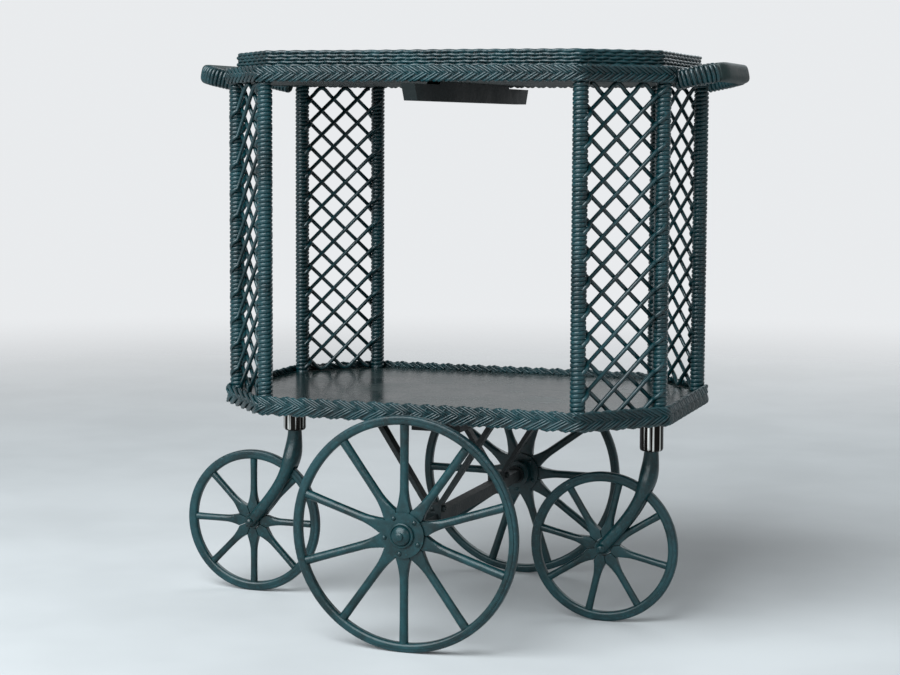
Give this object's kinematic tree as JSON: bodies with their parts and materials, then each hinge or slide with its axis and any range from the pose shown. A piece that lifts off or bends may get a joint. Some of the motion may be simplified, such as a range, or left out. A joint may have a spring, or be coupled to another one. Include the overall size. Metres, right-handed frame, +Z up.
{
  "type": "tea cart",
  "caption": "Painted wicker tea cart: octagonal tray and shelf on wrapped posts with reed lattice corners, large spoked wheels amidships and small spoked casters at the ends.",
  "frame": {"origin": "on the floor, under the middle of the cart's bounding box", "axes": "+X along the cart towards the right handle as pictured, +Y across it towards the far large wheel, +Z up"},
  "size_m": [0.7973, 0.5426, 0.765],
  "materials": {
    "painted_wood": "dark green gloss paint",
    "painted_reed": "dark green satin paint on reed",
    "painted_iron": "dark green paint",
    "polished_metal": "polished, darkened",
    "bare_metal": "dull",
    "painted_tyre": "dark green paint on rubber"
  },
  "bodies": {
    "cart": {"top_board": "painted_wood", "lower_board": "painted_wood", "top_braid": "painted_reed", "lower_braid": "painted_reed", "gallery_rows": "painted_reed", "gallery_stakes": "painted_reed", "top_batten": "painted_wood", "batten_screws": "bare_metal", "post_near_left": "painted_reed", "post_near_right": "painted_reed", "post_right_near": "painted_reed", "post_right_far": "painted_reed", "post_far_right": "painted_reed", "post_far_left": "painted_reed", "post_left_far": "painted_reed", "post_left_near": "painted_reed", "lattice_near_right": "painted_reed", "lattice_far_right": "painted_reed", "lattice_far_left": "painted_reed", "lattice_near_left": "painted_reed", "handle_right": "painted_reed", "handle_left": "painted_reed", "long_rails": "painted_wood", "caster_rails": "painted_wood", "bolster": "painted_wood", "axle": "painted_iron", "hanger_near": "painted_iron", "hanger_far": "painted_iron", "saddle_blocks": "painted_wood", "hanger_bolts": "bare_metal", "axle_washers": "bare_metal", "axle_nuts": "bare_metal", "socket_right": "polished_metal", "socket_left": "polished_metal"},
    "near_wheel": {"near_hub": "painted_wood", "near_plates": "painted_iron", "near_plate_bolts": "painted_iron", "near_cap": "painted_iron", "near_spokes": "painted_wood", "near_rim": "painted_wood", "near_tyre": "painted_tyre"},
    "far_wheel": {"far_hub": "painted_wood", "far_plates": "painted_iron", "far_plate_bolts": "painted_iron", "far_cap": "painted_iron", "far_spokes": "painted_wood", "far_rim": "painted_wood", "far_tyre": "painted_tyre"},
    "right_caster": {"right_fork": "painted_iron", "right_fork_bolt": "bare_metal"},
    "left_caster": {"left_fork": "painted_iron", "left_fork_bolt": "bare_metal"},
    "right_small_wheel": {"right_caster_hub": "painted_wood", "right_caster_spokes": "painted_wood", "right_caster_rim": "painted_wood", "right_caster_tyre": "painted_tyre"},
    "left_small_wheel": {"left_caster_hub": "painted_wood", "left_caster_spokes": "painted_wood", "left_caster_rim": "painted_wood", "left_caster_tyre": "painted_tyre"}
  },
  "joints": [
    {"name": "near_wheel_turn", "type": "hinge", "parent": "cart", "child": "near_wheel", "pos_m": [0.02681, -0.249, 0.152], "axis": [0, 1, 0], "continuous": true},
    {"name": "far_wheel_turn", "type": "hinge", "parent": "cart", "child": "far_wheel", "pos_m": [0.02681, 0.249, 0.152], "axis": [0, 1, 0], "continuous": true},
    {"name": "right_caster_swivel", "type": "hinge", "parent": "cart", "child": "right_caster", "pos_m": [0.28631, 0, 0.255], "axis": [0, 0, 1], "continuous": true},
    {"name": "right_small_wheel_turn", "type": "hinge", "parent": "right_caster", "child": "right_small_wheel", "pos_m": [0.22231, 0, 0.102], "axis": [0, 1, 0], "continuous": true},
    {"name": "left_caster_swivel", "type": "hinge", "parent": "cart", "child": "left_caster", "pos_m": [-0.23269, 0, 0.255], "axis": [0, 0, 1], "continuous": true},
    {"name": "left_small_wheel_turn", "type": "hinge", "parent": "left_caster", "child": "left_small_wheel", "pos_m": [-0.29669, 0, 0.102], "axis": [0, 1, 0], "continuous": true}
  ]
}
